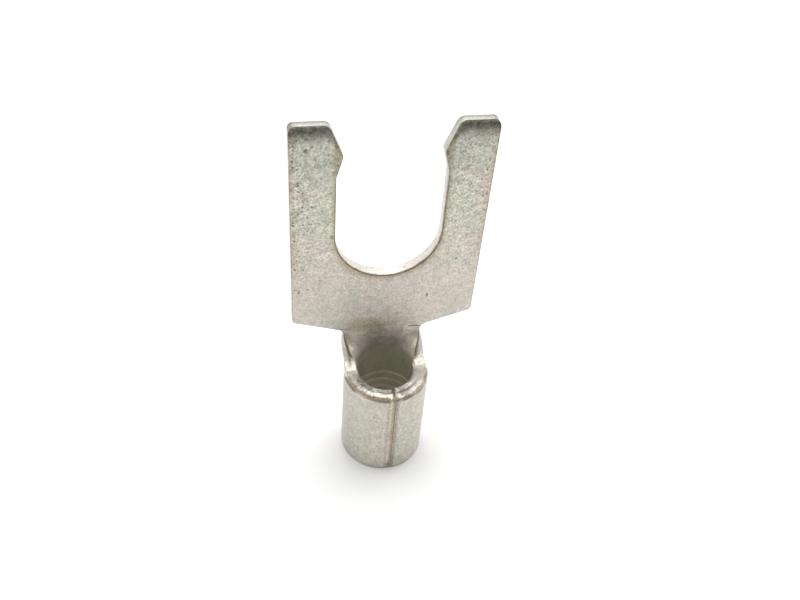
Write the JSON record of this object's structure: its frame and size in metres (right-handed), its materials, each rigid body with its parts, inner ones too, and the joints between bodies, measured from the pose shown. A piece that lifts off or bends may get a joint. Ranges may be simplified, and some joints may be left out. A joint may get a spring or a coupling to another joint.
{
  "type": "fork terminal",
  "caption": "Bare fork terminal of tinned copper sheet: a rolled crimp barrel for the wire, a flared neck and a forked tongue with locking bumps for a screw or stud.",
  "frame": {"origin": "on the barrel's axis, at the end where the wire goes in, which is the end it stands on", "axes": "+Z along the barrel to the fork's tips; +Y towards the back, where the tongue lies flush with the barrel; +X across the tines, to the right seen from the seam side"},
  "size_m": [0.012, 0.0056, 0.0245],
  "materials": {
    "tinned_copper": "matte tin plating over copper"
  },
  "bodies": {
    "root": {"fork_terminal": "tinned_copper"}
  },
  "joints": []
}
